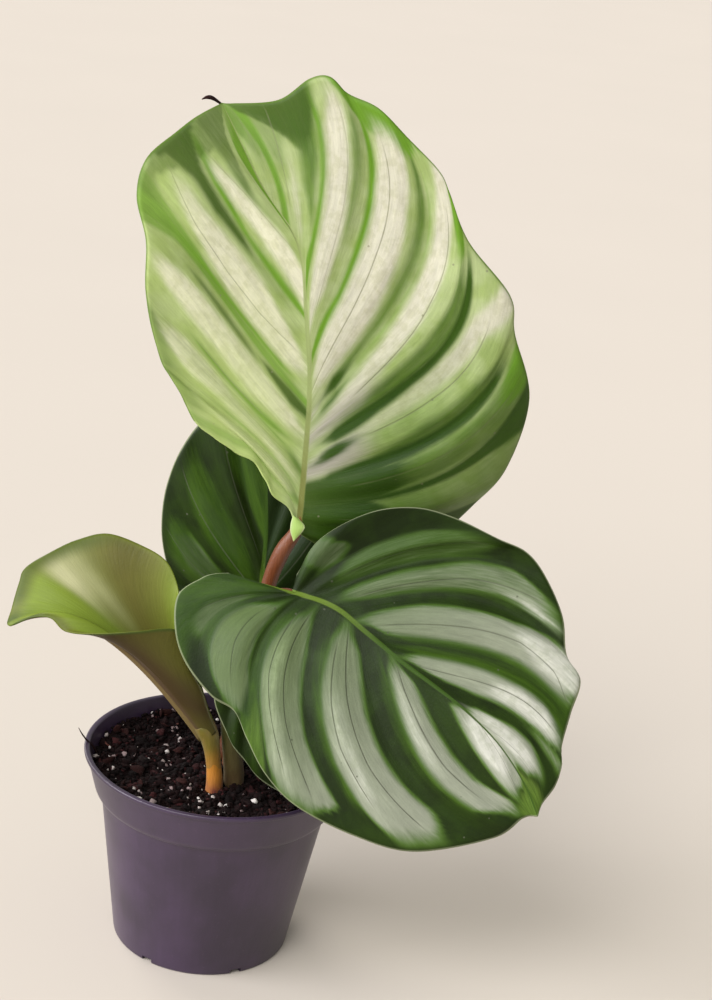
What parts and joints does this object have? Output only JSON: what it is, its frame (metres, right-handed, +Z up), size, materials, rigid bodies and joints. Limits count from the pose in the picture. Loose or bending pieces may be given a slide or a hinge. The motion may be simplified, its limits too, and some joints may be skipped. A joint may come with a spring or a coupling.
{
  "type": "potted round-leaf calathea",
  "caption": "Small potted calathea: round waved blades with silver and green stripes, a rolled young leaf, slim stems, soil and a tapered nursery pot.",
  "frame": {"origin": "centre of the flat underside of the pot, on the surface it stands on", "axes": "+Z up along the pot's axis, +X towards the side where the large front blade hangs, -Y towards the side the blades face"},
  "size_m": [0.1443, 0.0731, 0.2268],
  "materials": {
    "pot": "satin moulded plastic",
    "soil": "rough, crumbly",
    "striped_blade": "satin, silver with green stripes",
    "green_blade": "satin, dark green with paler stripes",
    "young_blade": "satin olive",
    "rust_stem": "satin reddish brown",
    "amber_stem": "satin amber"
  },
  "bodies": {
    "root": {"pot": "pot", "soil": "soil", "upper_blade": "striped_blade", "front_blade": "striped_blade", "back_blade": "green_blade", "low_leaf": "green_blade", "young_blade": "young_blade", "upper_stem": "rust_stem", "front_stem": "rust_stem", "back_stem": "rust_stem", "young_stem": "amber_stem"}
  },
  "joints": []
}
